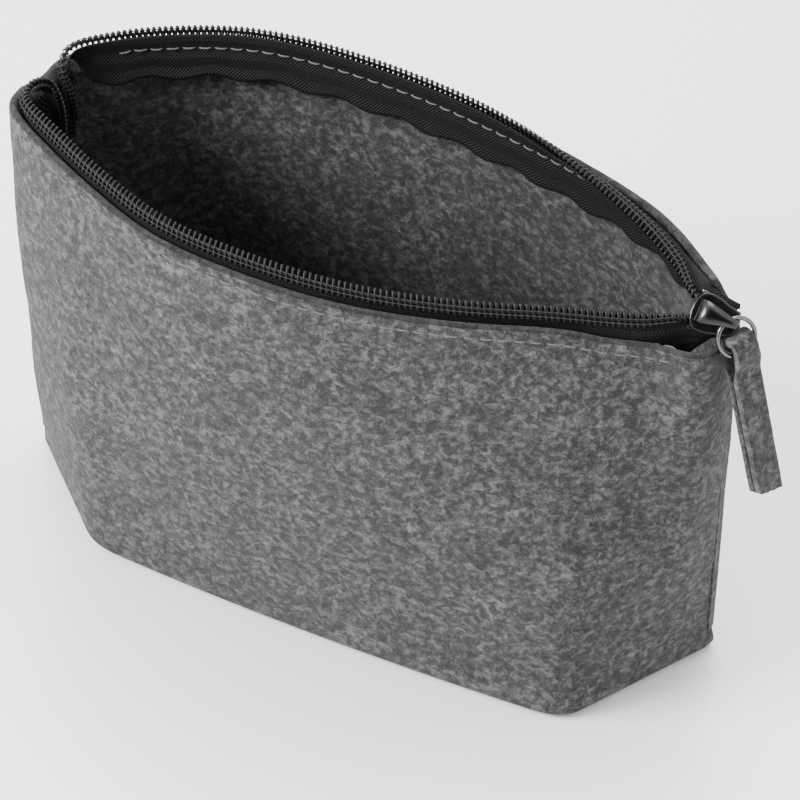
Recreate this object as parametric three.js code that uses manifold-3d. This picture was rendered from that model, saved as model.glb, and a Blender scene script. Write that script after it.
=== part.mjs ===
// A soft felt pouch, zipped along its mouth and standing open on its folded flat base.
// Millimetres, +Z up. X runs along the mouth, -Y is the front, and the origin is the middle of
// the base's underside. The felt is one strip, folded at the base and sewn up at both sides.
import * as THREE from "three";
import { mergeVertices } from "three/addons/utils/BufferGeometryUtils.js";
import Module from "manifold-3d";

// Felt body
const FELT = 2; // thickness of the felt
const FOLD_RADIUS = 3; // outer radius of the fold between base and wall
const LEFT_FOOT = [-96.8, 0.5]; // the middle of the fold, seen from above, under the left seam
const RIGHT_FOOT = [93.8, 4];
const FRONT_FOLD = [[-69.5, -27.6], [-5, -34], [67.4, -33]]; // corner, bow and corner
const BACK_FOLD = [[-65.5, 25.7], [0, 31], [65.5, 25.7]];
const CORNER_SHARE = 0.1; // how far along its two edges a base corner is rounded
const WALL_BULGE = 3; // how far the walls belly out halfway up
const AROUND = 40; // steps along each wall
const UP = 7; // steps up each wall
const SEAM_FIN_DEPTH = 6; // width of the seam allowances, which point into the pouch
const SEAM_FIN_LOW = 7;
const SEAM_FIN_HIGH = 104;

// Zip
const COIL_HALF_WIDTH = 2.1;
const COIL_HALF_WIDTH_NARROW = 1.2; // in the slider, and where it is tucked down
const COIL_HALF_HEIGHT = 0.9;
const CORE_HALF_WIDTH = 0.7;
const CORE_HALF_HEIGHT = 0.35;
const CORE_GAP = 0.12; // between a coil and the filler cord in it
const TAPE_HALF = 0.25; // half of the tape's thickness
const COIL_TO_TAPE = 0.35;
const TAPE_DROP = 10.5; // how far the tape hangs inside, below the felt's edge
const FRONT_STRIP = [1, 2.6]; // bare tape between the coil and the felt's edge: along the mouth
const BACK_STRIP = [1.2, 3.5]; // and beside the slider
const TAPE_STANDOFF = 1; // from the felt's inner face to the middle of the tape
const RAIL_STEPS = 48;
const THREAD_HALF = 0.25;
const STITCH_DROP = 3; // from the felt's edge down to the topstitching
const SEW_STEPS = 30;

// Slider, ring and tab
const SLIDER_AT = new THREE.Vector3(90.3, 4.3, 133.2);
const SLIDER_ALONG = new THREE.Vector3(0.965, 0.073, -0.249); // towards its narrow end
const SLIDER_TOP = new THREE.Vector3(0.243, -0.59, 0.769); // the way its upper wing faces
const CHANNEL_TOP = 1.25;
const CHANNEL_BOTTOM = -2.1;
const PLATE = 1.1; // thickness of the slider's wings
const SLIDER_LEFT = -6; // the wide end, which leads as the zip closes
const SLIDER_RIGHT = 6.4;
const LIP = 0.6; // thickness of the slider's side walls
const LIP_LOW = -0.6;
const BRIDGE_WIDTH = 2.8;
const BRIDGE_THICK = 0.9;
const RING_PLAY = 0.55; // between the wire and the bridge above it
const BRIDGE_GAP = 0.15; // between the bridge's feet and the upper wing
const HOLE = new THREE.Vector3(3.4, 0, 3.95); // where the ring hangs under the bridge
const RING_RADIUS = 5; // to the middle of the wire
const WIRE_RADIUS = 0.62;
const RING_THROUGH = new THREE.Vector3(0.5, 0.85, -0.12); // the wire's way through the hole
const RING_FALL = new THREE.Vector3(0.75, -0.5, -0.43); // from the hole to the ring's middle
const TAB_LENGTH = 48;
const TAB_HALF_WIDTH = 4.7;
const TAB_HALF_WIDTH_AT_RING = 3.1;
const TAB_FELT = 1.7;
const TAB_POCKET_HALF = 1.7; // half of the hollow that the ring lies in
const TAB_GAP_HALF = 0.15; // half of the slit between the layers below the ring
const TAB_LOOP_AT = 3.8; // from the ring's middle to the middle of the tab's loop
const TAB_RISE = 3.6; // from the middle of the loop up to the top of the fold
const TAB_FALL = new THREE.Vector3(0.311, -0.183, -0.934);
const TAB_ACROSS = new THREE.Vector3(0.42, 0.907, 0); // across the tab, at its top
const TAB_TWIST = 8; // degrees from the tab's top to its end

const felt = new THREE.MeshStandardMaterial({ color: 0x6d6d6d, roughness: 0.98, metalness: 0 });
const webbing = new THREE.MeshStandardMaterial({ color: 0x161616, roughness: 0.85, metalness: 0 });
const nylon = new THREE.MeshStandardMaterial({ color: 0x1c1c1c, roughness: 0.35, metalness: 0 });
const filler = new THREE.MeshStandardMaterial({ color: 0x202020, roughness: 0.9, metalness: 0 });
const gunMetal = new THREE.MeshStandardMaterial({ color: 0x4a4a4c, roughness: 0.3, metalness: 1 });
const wire = new THREE.MeshStandardMaterial({ color: 0x77777a, roughness: 0.2, metalness: 1 });
const greyThread = new THREE.MeshStandardMaterial({ color: 0x8a8a8a, roughness: 0.8, metalness: 0 });
const blackThread = new THREE.MeshStandardMaterial({ color: 0x151515, roughness: 0.8, metalness: 0 });

const UP_WAY = new THREE.Vector3(0, 0, 1);
const wasm = await Module();
wasm.setup();

const vec = (x, y, z) => new THREE.Vector3(x, y, z);
const mix = (a, b, t) => a + (b - a) * t;
const degrees = (d) => THREE.MathUtils.degToRad(d);
const smooth = THREE.MathUtils.smoothstep;

// A point moved by multiples of directions: along(p, a, 2, b, 3) is p + 2a + 3b.
function along(point, ...moves) {
  const moved = point.clone();
  for (let i = 0; i < moves.length; i += 2) moved.addScaledVector(moves[i], moves[i + 1]);
  return moved;
}

function geometryOf(points, faces) {
  const flat = faces.flat().flatMap((i) => points[i].toArray());
  const geometry = new THREE.BufferGeometry();
  geometry.setAttribute("position", new THREE.Float32BufferAttribute(flat, 3));
  geometry.computeVertexNormals();
  return geometry;
}

// Turns a surface right way out if its faces point inwards.
function facingOut(points, faces) {
  let volume = 0;
  for (const [a, b, c] of faces) volume += points[a].dot(points[b].clone().cross(points[c]));
  return volume < 0 ? faces.map(([a, b, c]) => [a, c, b]) : faces;
}

// A solid through rings of points, all of one count. A hollow one has its inner rings too.
function loft(rings, inner = null) {
  const count = rings[0].length;
  const points = rings.flat();
  const faces = [];
  const wall = (from, turn) => {
    for (let i = 0; i + 1 < rings.length; i++)
      for (let j = 0; j < count; j++) {
        const a = from + i * count + j;
        const b = from + i * count + ((j + 1) % count);
        const quad = [[a, b, b + count], [a, b + count, a + count]];
        faces.push(...(turn ? quad.map(([p, q, r]) => [p, r, q]) : quad));
      }
  };
  wall(0, false);
  const last = (rings.length - 1) * count;
  if (inner) {
    const shift = points.length;
    points.push(...inner.flat());
    wall(shift, true);
    for (let j = 0; j < count; j++) {
      const k = (j + 1) % count;
      faces.push([j, shift + k, k], [j, shift + j, shift + k]);
      faces.push([last + j, last + k, last + shift + k]);
      faces.push([last + j, last + shift + k, last + shift + j]);
    }
  } else {
    // each end is closed across, from side to side, so that a bent strip's end stays inside it
    for (let j = 0; j < count / 2 - 1; j++) {
      const k = count - 1 - j;
      faces.push([j, k, k - 1], [j, k - 1, j + 1]);
      faces.push([last + j, last + k - 1, last + k], [last + j, last + j + 1, last + k - 1]);
    }
  }
  return geometryOf(points, facingOut(points, faces));
}

function solidOf(geometry) {
  const bare = geometry.index ? geometry.toNonIndexed() : geometry.clone();
  bare.deleteAttribute("normal");
  bare.deleteAttribute("uv");
  const merged = mergeVertices(bare, 1e-4);
  return new wasm.Manifold(
    new wasm.Mesh({
      numProp: 3,
      vertProperties: merged.attributes.position.array,
      triVerts: new Uint32Array(merged.index.array),
    }),
  );
}

function geometryFrom(solid) {
  const mesh = solid.getMesh();
  const geometry = new THREE.BufferGeometry();
  geometry.setAttribute("position", new THREE.BufferAttribute(mesh.vertProperties, 3));
  geometry.setIndex(new THREE.BufferAttribute(mesh.triVerts, 1));
  return geometry;
}

function joined(first, ...others) {
  return geometryFrom(others.reduce((sum, g) => sum.add(solidOf(g)), solidOf(first)));
}

function named(name, geometry, material) {
  const mesh = new THREE.Mesh(geometry, material);
  mesh.name = name;
  return mesh;
}

// The slider's own frame: s along the zip to the right, l across it to the back, u out of its top.
const ACROSS = SLIDER_TOP.clone().cross(SLIDER_ALONG).normalize();
const sliderFrame = new THREE.Matrix4()
  .makeBasis(ACROSS.clone().cross(SLIDER_TOP).normalize(), ACROSS, SLIDER_TOP.clone().normalize())
  .setPosition(SLIDER_AT);
const inSlider = (s, l, u) => vec(s, l, u).applyMatrix4(sliderFrame);
const sliderWay = (way) => way.clone().transformDirection(sliderFrame);

// The lines of the two coils, from the ends tucked down inside the left corner to the slider.
// side is -1 for the front and 1 for the back.
function chain(side) {
  const tucked = side < 0
    ? [vec(-94.5, 13, 112), vec(-95, 13.5, 124), vec(-97.5, 12.5, 133), vec(-99.6, 7.5, 136.6)]
    : [vec(-94.5, 20.5, 112), vec(-95.5, 20.5, 122), vec(-97.5, 20.8, 129.5)];
  const mouth = side < 0
    ? [vec(-98.8, 1, 137.2), vec(-84.1, -9, 138.3), vec(-69, -17.1, 138.7), vec(-48.5, -25.5, 139.1),
       vec(-22.3, -28.7, 139), vec(4.5, -27.4, 138.3), vec(29.2, -21.4, 137), vec(52.5, -12.2, 135),
       vec(73.6, -4, 133)]
    : [vec(-97.8, 25, 133), vec(-88, 33, 134.2), vec(-55, 46.4, 136), vec(-16, 47.7, 137),
       vec(24, 41, 137.4), vec(62, 25, 137), vec(76, 15.5, 136.4)];
  const slider = [inSlider(SLIDER_LEFT, 2.95 * side, -0.1), inSlider(-1, 1.9 * side, 0),
    inSlider(4.6, 1.45 * side, 0)];
  return new THREE.CatmullRomCurve3([...tucked, ...mouth, ...slider]);
}

// How the zip stands at a point of its line: "out" is level and points away from the mouth's middle,
// a points across the tape from the coil to the felt, and m out of the face that the coil is on.
function stance(point, tangent, side) {
  const level = vec(tangent.x, tangent.y, 0).normalize();
  const out = level.clone().cross(UP_WAY).multiplyScalar(-side);
  const tucked = point.x > 0 ? 0 : side < 0 ? smooth(point.y, -6, 9) : 1 - smooth(point.y, 20, 37);
  const steep = side < 0 ? degrees(45) : degrees(mix(85, -20, smooth(point.x, 5, 86)));
  const leaning = vec(0, 0, 0)
    .addScaledVector(out, Math.cos(steep))
    .addScaledVector(UP_WAY, -Math.sin(steep))
    .lerp(ACROSS.clone().multiplyScalar(side), smooth(point.x, 76, 86));
  const a = leaning.lerp(vec(-0.5, 0, -0.8), tucked);
  a.addScaledVector(tangent, -a.dot(tangent)).normalize();
  const m = a.clone().cross(tangent).multiplyScalar(-side).normalize();
  const narrow = Math.max(smooth(point.x, 72, 84), tucked);
  const half = mix(COIL_HALF_WIDTH, COIL_HALF_WIDTH_NARROW, narrow);
  return { point, tangent, out, a, m, tucked, half };
}

function stances(side) {
  const line = chain(side);
  return Array.from({ length: RAIL_STEPS + 1 }, (_, i) =>
    stance(line.getPointAt(i / RAIL_STEPS), line.getTangentAt(i / RAIL_STEPS), side),
  );
}

function strip(x, side) {
  const [open, beside] = side < 0 ? FRONT_STRIP : BACK_STRIP;
  return mix(open, beside, smooth(x, side < 0 ? 50 : 74, 84)) - (side < 0 ? 1.6 : 0.4) * smooth(x, 88, 93);
}

const TAPE_DEPTH = COIL_HALF_HEIGHT + COIL_TO_TAPE + TAPE_HALF;

// Where the tape bends down behind the felt's edge.
function tapeBend({ point, a, m, tucked, half }, side) {
  return along(point, a, half + strip(point.x, side) * (1 - tucked), m, -TAPE_DEPTH);
}

// The top inner edge of the felt, from the left seam's top to the right one's.
const LEFT_SEAM_TOP = vec(-102, 15.5, 127);
const RIGHT_SEAM_TOP = vec(93.9, 6, 124.6);

function mouthLine(side) {
  const rail = stances(side)
    .filter(({ point, tucked }) => tucked < 0.15 && point.x < 86)
    .filter((_, i) => i % 2 === 0)
    .map((s) => along(tapeBend(s, side), s.out, TAPE_STANDOFF, UP_WAY, side < 0 ? 0.3 : mix(0.3, -1, smooth(s.point.x, 66, 82))));
  const left = side < 0
    ? [vec(-102.2, 8.5, 132), vec(-101.6, 1.5, 133.4)]
    : [vec(-101.5, 21.5, 125), vec(-100, 26.5, 125.5)];
  const right = side < 0 ? [vec(90.8, -4.6, 128.6)] : [vec(93.6, 9.6, 127.5)];
  return new THREE.CatmullRomCurve3([LEFT_SEAM_TOP, ...left, ...rail, ...right, RIGHT_SEAM_TOP]);
}

// The line that the fold round the base turns about, from the left foot to the right one.
function baseLine(side) {
  const [left, bow, right] = side < 0 ? FRONT_FOLD : BACK_FOLD;
  const between = (p, q, t) => [mix(p[0], q[0], t), mix(p[1], q[1], t)];
  const path = new THREE.Path().moveTo(...LEFT_FOOT);
  path.lineTo(...between(left, LEFT_FOOT, CORNER_SHARE));
  path.quadraticCurveTo(...left, ...between(left, bow, CORNER_SHARE));
  path.quadraticCurveTo(...bow, ...between(right, bow, CORNER_SHARE));
  path.quadraticCurveTo(...right, ...between(right, RIGHT_FOOT, CORNER_SHARE));
  path.lineTo(...RIGHT_FOOT);
  return path;
}

const foldLines = { "-1": baseLine(-1), 1: baseLine(1) };
const mouthLines = { "-1": mouthLine(-1), 1: mouthLine(1) };

function foldPoint(side, t) {
  const p = foldLines[side].getPointAt(t);
  return vec(p.x, p.y, FOLD_RADIUS);
}

// The level way out of the wall, from two points on a level line of it.
function wayOut(before, after, side) {
  return vec(after.y - before.y, before.x - after.x, 0).normalize().multiplyScalar(-side);
}

// A point of the wall's inner face: t runs from the left seam to the right, v from base to mouth.
function wallPoint(side, t, v) {
  const inner = FOLD_RADIUS - FELT;
  const step = 0.01;
  const [t0, t1] = [Math.max(t - step, 0), Math.min(t + step, 1)];
  const out = wayOut(foldPoint(side, t0), foldPoint(side, t1), side);
  out.lerp(vec(t < 0.5 ? -1 : 1, 0, 0), 1 - smooth(Math.min(t, 1 - t), 0, 0.03)).normalize();
  const low = along(foldPoint(side, t), out, inner);
  const belly = WALL_BULGE * Math.sin(Math.PI * v) * mix(1, 0.2, smooth(t, 0.88, 1));
  return low.lerp(mouthLines[side].getPointAt(t), v).addScaledVector(out, belly);
}

// A level ring of points all the way round: along the front to the right, and back along the back.
function around(pointAt) {
  const steps = Array.from({ length: AROUND }, (_, i) => i / AROUND);
  return [...steps.map((t) => pointAt(-1, t)), ...steps.map((t) => pointAt(1, 1 - t))];
}

function ringNormals(ring) {
  return ring.map((_, i) => {
    const before = ring[(i + ring.length - 1) % ring.length];
    const after = ring[(i + 1) % ring.length];
    return vec(after.y - before.y, before.x - after.x, 0).normalize();
  });
}

// The base is filled in from a line along its middle, a little shorter than the base itself.
function baseMiddle(t) {
  const middle = foldPoint(-1, t).lerp(foldPoint(1, t), 0.5);
  return middle.setX(0.8 * middle.x);
}

const FOLD_STEPS = 2;
const BASE_STEPS = 2;

// The felt's two faces as rings of points, from the middle line of the base up to the mouth.
function feltFaces() {
  const fold = around((side, t) => foldPoint(side, t));
  const outward = ringNormals(fold);
  const faces = { outer: [], inner: [] };
  for (let k = 0; k < BASE_STEPS; k++) {
    const spread = k / BASE_STEPS;
    const flat = around((side, t) => baseMiddle(t).lerp(foldPoint(side, t), spread).setZ(0));
    faces.outer.push(flat);
    faces.inner.push(flat.map((p) => along(p, UP_WAY, FELT)));
  }
  for (let k = 0; k <= FOLD_STEPS; k++) {
    const turn = ((k / FOLD_STEPS) * Math.PI) / 2;
    const at = (radius) => fold.map((p, i) =>
      along(p, outward[i], radius * Math.sin(turn), UP_WAY, -radius * Math.cos(turn)));
    faces.outer.push(at(FOLD_RADIUS));
    faces.inner.push(at(FOLD_RADIUS - FELT));
  }
  for (let j = 1; j <= UP; j++) {
    const ring = around((side, t) => wallPoint(side, t, j / UP));
    const ways = ringNormals(ring);
    faces.inner.push(ring);
    faces.outer.push(ring.map((p, i) => along(p, ways[i], FELT)));
  }
  return faces;
}

function feltShell() {
  const { outer, inner } = feltFaces();
  const count = 2 * AROUND;
  const points = [...outer.flat(), ...inner.flat()];
  const shift = outer.length * count;
  const faces = [];
  for (let i = 0; i + 1 < outer.length; i++)
    for (let j = 0; j < count; j++) {
      const a = i * count + j;
      const b = i * count + ((j + 1) % count);
      faces.push([a, b, b + count], [a, b + count, a + count]);
      faces.push([shift + a, shift + b + count, shift + b]);
      faces.push([shift + a, shift + a + count, shift + b + count]);
    }
  const rim = (outer.length - 1) * count;
  for (let j = 0; j < count; j++) {
    const k = (j + 1) % count;
    faces.push([rim + j, rim + k, shift + rim + k], [rim + j, shift + rim + k, shift + rim + j]);
  }
  return geometryOf(points, facingOut(points, faces));
}

// The two seam allowances of one side, sewn face to face and pointing into the pouch.
// end is 0 for the left seam and 1 for the right one.
function seamLine(end, inward) {
  const into = end === 0 ? 1 : -1;
  const steps = 8;
  return Array.from({ length: steps + 1 }, (_, i) => {
    const z = mix(SEAM_FIN_LOW, SEAM_FIN_HIGH, i / steps);
    const top = end === 0 ? LEFT_SEAM_TOP : RIGHT_SEAM_TOP;
    const v = (z - FOLD_RADIUS) / (top.z - FOLD_RADIUS);
    const at = wallPoint(-1, end, v);
    return vec(at.x + into * inward, wallPoint(1, end, v).lerp(at, 0.5).y, z);
  });
}

const square = (p, x, y) =>
  [[x[0], y[0]], [x[1], y[0]], [x[1], y[1]], [x[0], y[1]]].map(([dx, dy]) => vec(p.x + dx, p.y + dy, p.z));

function seamFin(end) {
  const into = end === 0 ? 1 : -1;
  const root = 0.2; // it starts inside the wall, so that the two are one piece of felt
  return loft(seamLine(end, 0).map((p) => square(p, [into * -root, into * SEAM_FIN_DEPTH], [-FELT, FELT])));
}

function seamThread(end, face) {
  const lift = face * (FELT + 0.3 + THREAD_HALF);
  return loft(
    seamLine(end, SEAM_FIN_DEPTH * 0.6).slice(1, -1).map((p) =>
      square(p, [-THREAD_HALF, THREAD_HALF], [lift - THREAD_HALF, lift + THREAD_HALF])),
  );
}

// A bar along the zip. across and height give its cross-section, as shares of a and m.
const railRing = (s, across, height, lift = 0) =>
  [[-across, -height], [across, -height], [across, height], [-across, height]].map(([x, y]) =>
    along(s.point, s.a, x, s.m, y + lift));

function coil(side) {
  const rail = stances(side);
  const hole = [CORE_HALF_WIDTH + CORE_GAP, CORE_HALF_HEIGHT + CORE_GAP];
  return loft(
    rail.map((s) => railRing(s, s.half, COIL_HALF_HEIGHT)),
    rail.map((s) => railRing(s, ...hole)),
  );
}

const coilCore = (side) =>
  loft(stances(side).map((s) => railRing(s, CORE_HALF_WIDTH, CORE_HALF_HEIGHT)));

// The thread that sews a coil to its tape, along the top of the coil, as far as the slider.
function coilStitching(side) {
  const rail = stances(side).filter(({ point, tucked }) => tucked < 0.5 && point.x < 82);
  const lift = COIL_HALF_HEIGHT + 0.35;
  return loft(rail.map((s) => railRing(s, 0.3, 0.1, lift)));
}

// The tape: from under the coil to its bend at the felt's edge, and down along the felt inside.
function tape(side) {
  return loft(
    stances(side).map((s) => {
      const bend = tapeBend(s, side);
      const down = hang(bend, side);
      const free = 1 - s.tucked;
      const nearSlider = 1 - 0.9 * smooth(s.point.x, 82, 92);
      const normal = s.m.clone();
      const face = down.clone().cross(s.tangent).multiplyScalar(-side).lerp(normal, s.tucked).normalize();
      const lean = -0.14 - 0.6 * s.tucked; // the tape's free edge stands a little off the felt
      const fall = down.addScaledVector(s.out, lean).lerp(s.a, s.tucked).normalize();
      const drop = mix(1, TAPE_DROP, free * nearSlider);
      const spine = [
        [along(s.point, s.a, -0.3, s.m, -TAPE_DEPTH), normal],
        [along(bend, s.a, -0.6), normal],
        [along(bend, fall, 0.45 * Math.min(drop, 2.2)), normal.clone().lerp(face, 0.7).normalize()],
        [along(bend, fall, drop), face],
      ];
      const top = spine.map(([p, n]) => along(p, n, TAPE_HALF));
      const under = spine.map(([p, n]) => along(p, n, -TAPE_HALF)).reverse();
      return [...top, ...under];
    }),
  );
}

// The way down the wall's inner face below a point near the mouth.
function hang(point, side) {
  const t = nearestShare(point, side);
  return wallPoint(side, t, 0.9).sub(wallPoint(side, t, 0.98)).normalize();
}

const SAMPLES = 160;
const mouthSamples = { "-1": mouthLines[-1].getSpacedPoints(SAMPLES), 1: mouthLines[1].getSpacedPoints(SAMPLES) };

function nearestShare(point, side) {
  const gaps = mouthSamples[side].map((p) => p.distanceToSquared(point));
  return gaps.indexOf(Math.min(...gaps)) / SAMPLES;
}

// Topstitching that holds a tape to the felt: a line on the felt outside, or on the tape inside.
function topstitch(side, outside) {
  const height = (t) => 1 - STITCH_DROP / (mouthLines[side].getPointAt(t).z - FOLD_RADIUS);
  const lift = outside ? FELT + 0.3 + THREAD_HALF : -(TAPE_STANDOFF + TAPE_HALF + 0.7 + THREAD_HALF);
  const from = side < 0 ? 0.09 : 0.13;
  return loft(
    Array.from({ length: SEW_STEPS + 1 }, (_, i) => {
      const t = mix(from, 0.9, i / SEW_STEPS);
      const at = wallPoint(side, t, height(t));
      const out = wayOut(wallPoint(side, t - 0.02, height(t)), wallPoint(side, t + 0.02, height(t)), side);
      const centre = along(at, out, lift);
      return [[-1, -1], [1, -1], [1, 1], [-1, 1]].map(([x, y]) =>
        along(centre, out, x * THREAD_HALF, UP_WAY, y * THREAD_HALF));
    }),
  );
}

// Half outline of the slider's wings, as half widths along s: round and wide at the left.
function wingShape(grow = 0) {
  const wide = 5.1 + grow;
  const narrow = 3.2 + grow;
  const shape = new THREE.Shape().moveTo(SLIDER_LEFT, 0);
  shape.bezierCurveTo(SLIDER_LEFT, 3, -5, wide, -2.6, wide);
  shape.bezierCurveTo(0, wide, 1, 4.2, 3, 3.9);
  shape.quadraticCurveTo(SLIDER_RIGHT, narrow + 0.4, SLIDER_RIGHT, 1.6);
  shape.lineTo(SLIDER_RIGHT, -1.6);
  shape.quadraticCurveTo(SLIDER_RIGHT, -narrow - 0.4, 3, -3.9);
  shape.bezierCurveTo(1, -4.2, 0, -wide, -2.6, -wide);
  shape.bezierCurveTo(-5, -wide, SLIDER_LEFT, -3, SLIDER_LEFT, 0);
  return shape;
}

function slab(shape, low, high, curveSegments = 5) {
  const geometry = new THREE.ExtrudeGeometry(shape, { depth: high - low, bevelEnabled: false, curveSegments });
  return geometry.translate(0, 0, low);
}

// A side wall of the slider, outside the coil, from the upper wing down to just above the tape.
function lipShape(side) {
  const inner = [[-5.4, 4.5], [-1, 3.6], [5.6, 2.95]];
  const outer = inner.map(([s, l]) => [s, l + LIP]).reverse();
  return new THREE.Shape([...inner, ...outer].map(([s, l]) => new THREE.Vector2(s, side * l)));
}

function postShape() {
  return new THREE.Shape([[-5.6, 0], [-4.6, 1.1], [-3.4, 0.9], [-2, 0]]
    .concat([[-3.4, -0.9], [-4.6, -1.1]])
    .map(([s, l]) => new THREE.Vector2(s, l)));
}

function sliderBody() {
  const lap = 0.3; // how far the walls and the post run into the wings
  const upper = slab(wingShape(), CHANNEL_TOP, CHANNEL_TOP + PLATE);
  const lower = slab(wingShape(-0.2), CHANNEL_BOTTOM - PLATE, CHANNEL_BOTTOM);
  const post = slab(postShape(), CHANNEL_BOTTOM - lap, CHANNEL_TOP + lap);
  const lips = [-1, 1].map((side) => slab(lipShape(side), LIP_LOW, CHANNEL_TOP + lap));
  return joined(upper, lower, post, ...lips);
}

// The bridge over the upper wing: an arched strip, with the hole for the ring under it.
function sliderBridge() {
  const foot = CHANNEL_TOP + PLATE + BRIDGE_GAP;
  const top = HOLE.z + WIRE_RADIUS + RING_PLAY + BRIDGE_THICK;
  const side = new THREE.Shape().moveTo(-4.6, foot);
  side.bezierCurveTo(-4.2, top - 1, -3, top, -0.8, top);
  side.lineTo(4, top);
  side.quadraticCurveTo(6.7, top, 6.7, foot + 1.4);
  side.lineTo(6.4, foot);
  side.lineTo(5.4, foot);
  side.lineTo(5.8, foot + 1.4);
  side.quadraticCurveTo(5.8, top - BRIDGE_THICK, 4, top - BRIDGE_THICK);
  side.lineTo(-0.8, top - BRIDGE_THICK);
  side.bezierCurveTo(-1.8, top - BRIDGE_THICK, -2.4, foot + 1, -2.6, foot);
  const strip = new THREE.ExtrudeGeometry(side, { depth: BRIDGE_WIDTH, bevelEnabled: false, curveSegments: 5 });
  return strip.rotateX(Math.PI / 2).translate(0, BRIDGE_WIDTH / 2, 0);
}

// The ring hangs with its wire through the hole, and the tab on the ring's lower half.
const ringFall = sliderWay(RING_FALL);
const ringThrough = along(sliderWay(RING_THROUGH), ringFall, -sliderWay(RING_THROUGH).dot(ringFall)).normalize();
const ringCentre = along(inSlider(HOLE.x, HOLE.y, HOLE.z), ringFall, RING_RADIUS);

function pullRing() {
  const basis = new THREE.Matrix4().makeBasis(ringThrough, ringFall, ringThrough.clone().cross(ringFall));
  return new THREE.TorusGeometry(RING_RADIUS, WIRE_RADIUS, 8, 28).applyMatrix4(basis.setPosition(ringCentre));
}

// The tab is a felt strip folded over the ring, seen from its side: for each step down from the
// fold, half the thickness of the hollow and of the whole.
function tabProfile() {
  const rows = 14;
  return Array.from({ length: rows + 1 }, (_, i) => {
    const down = TAB_LENGTH * (i / rows) ** 1.6;
    const hollow = mix(TAB_POCKET_HALF, TAB_GAP_HALF, smooth(down, 7, 13));
    const turn = Math.sqrt(1 - (1 - Math.min(down / (hollow + TAB_FELT), 1)) ** 2);
    return { down, hollow, whole: (hollow + TAB_FELT) * Math.max(turn, 0.4) };
  });
}

function pullTab() {
  const fall = TAB_FALL.clone().normalize();
  const top = along(ringCentre, ringFall, TAB_LOOP_AT, fall, -TAB_RISE);
  const outline = tabProfile();
  const place = (down, thick, edge) => {
    const turn = degrees(-TAB_TWIST * (down / TAB_LENGTH));
    const across = along(TAB_ACROSS, fall, -TAB_ACROSS.dot(fall)).normalize().applyAxisAngle(fall, turn);
    const half = mix(TAB_HALF_WIDTH_AT_RING, TAB_HALF_WIDTH, smooth(down, 4, 10));
    return along(top, fall, down, across, edge * half, across.clone().cross(fall), thick);
  };
  const rings = [-1, 1].map((edge) => {
    const skin = (face) => outline.map(({ down, whole }) => place(down, face * whole, edge));
    const lining = (face) => outline.map(({ down, hollow }, i) =>
      place(mix(TAB_FELT, TAB_LENGTH, down / TAB_LENGTH), face * hollow * (i === 0 ? 0.5 : 1), edge));
    return [...skin(1).reverse(), ...skin(-1), ...lining(-1).reverse(), ...lining(1)];
  });
  return loft(rings);
}

const part = new THREE.Group();
part.add(
  named("felt_body", joined(feltShell(), seamFin(0), seamFin(1)), felt),
  named("slider_body", sliderBody().applyMatrix4(sliderFrame), gunMetal),
  named("slider_bridge", sliderBridge().applyMatrix4(sliderFrame), gunMetal),
  named("pull_ring", pullRing(), wire),
  named("pull_tab", pullTab(), felt),
);
for (const [name, side] of [["front", -1], ["back", 1]]) {
  part.add(
    named(`${name}_zip_tape`, tape(side), webbing),
    named(`${name}_coil`, coil(side), nylon),
    named(`${name}_coil_core`, coilCore(side), filler),
    named(`${name}_coil_stitching`, coilStitching(side), blackThread),
    named(`${name}_topstitch_needle_thread`, topstitch(side, true), greyThread),
    named(`${name}_topstitch_bobbin_thread`, topstitch(side, false), greyThread),
  );
}
for (const [name, end] of [["left", 0], ["right", 1]]) {
  part.add(
    named(`${name}_seam_needle_thread`, seamThread(end, 1), greyThread),
    named(`${name}_seam_bobbin_thread`, seamThread(end, -1), greyThread),
  );
}
export default part;
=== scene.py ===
import math

import bmesh
import bpy
import numpy as np
from mathutils import Matrix, Vector, noise


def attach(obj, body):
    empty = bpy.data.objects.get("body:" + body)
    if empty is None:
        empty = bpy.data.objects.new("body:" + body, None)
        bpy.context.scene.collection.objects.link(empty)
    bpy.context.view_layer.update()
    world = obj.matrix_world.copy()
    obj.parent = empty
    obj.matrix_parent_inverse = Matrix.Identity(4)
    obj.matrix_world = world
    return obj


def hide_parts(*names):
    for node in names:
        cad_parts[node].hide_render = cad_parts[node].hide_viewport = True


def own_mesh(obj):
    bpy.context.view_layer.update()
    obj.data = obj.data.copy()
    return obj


# The felt pouch in its looks: woven tapes, wound coils, stitches, slider, ring and felt tab.
# Lengths are millimetres until a mesh is made, and the shapes follow the frame's own dimensions.

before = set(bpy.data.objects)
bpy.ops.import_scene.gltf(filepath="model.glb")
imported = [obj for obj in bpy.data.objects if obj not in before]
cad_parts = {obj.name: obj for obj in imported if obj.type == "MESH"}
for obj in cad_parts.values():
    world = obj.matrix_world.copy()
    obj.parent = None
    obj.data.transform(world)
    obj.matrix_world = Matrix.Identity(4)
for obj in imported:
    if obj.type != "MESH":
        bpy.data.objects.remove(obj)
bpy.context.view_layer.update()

MM = 0.001

# Felt body
FELT = 2.0
FOLD_RADIUS = 3.0
LEFT_FOOT = (-96.8, 0.5)
RIGHT_FOOT = (93.8, 4)
FRONT_FOLD = ((-69.5, -27.6), (-5, -34), (67.4, -33))  # corner, bow and corner
BACK_FOLD = ((-65.5, 25.7), (0, 31), (65.5, 25.7))
CORNER_SHARE = 0.1
WALL_BULGE = 3.0
AROUND = 260  # steps along each wall
UP = 84  # steps up each wall
SEAM_FIN_DEPTH = 6.0
SEAM_FIN_LOW = 7.0
SEAM_FIN_HIGH = 104.0

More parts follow.
